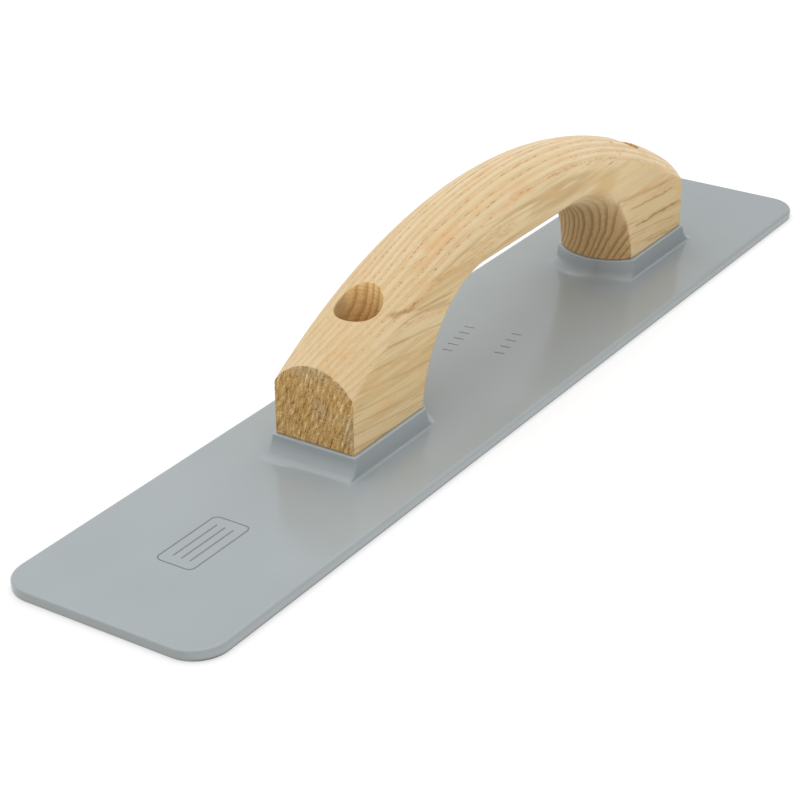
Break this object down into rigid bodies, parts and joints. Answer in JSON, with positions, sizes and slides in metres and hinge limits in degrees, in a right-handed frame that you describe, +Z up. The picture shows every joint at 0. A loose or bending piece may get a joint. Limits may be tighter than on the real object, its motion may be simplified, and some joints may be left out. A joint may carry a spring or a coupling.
{
  "type": "hand float",
  "caption": "Long flat cast-metal hand float with rounded corners and a bowed wooden handle screwed to raised cast bosses, for smoothing fresh concrete.",
  "frame": {"origin": "middle of the flat sole, at the bottom of the blade", "axes": "+X along the blade from the toe (the longer free end) to the heel, +Z up through the handle, +Y to the left of +X"},
  "size_m": [0.4064, 0.0794, 0.0713],
  "materials": {
    "cast_blade": "satin blue-grey lacquer over cast magnesium",
    "handle_wood": "bare sanded pale hardwood",
    "zinc_steel": "bright zinc plate"
  },
  "bodies": {
    "root": {"blade": "cast_blade", "handle": "handle_wood", "toe_handle_screw": "zinc_steel", "heel_handle_screw": "zinc_steel", "toe_washer": "zinc_steel", "heel_washer": "zinc_steel"}
  },
  "joints": []
}
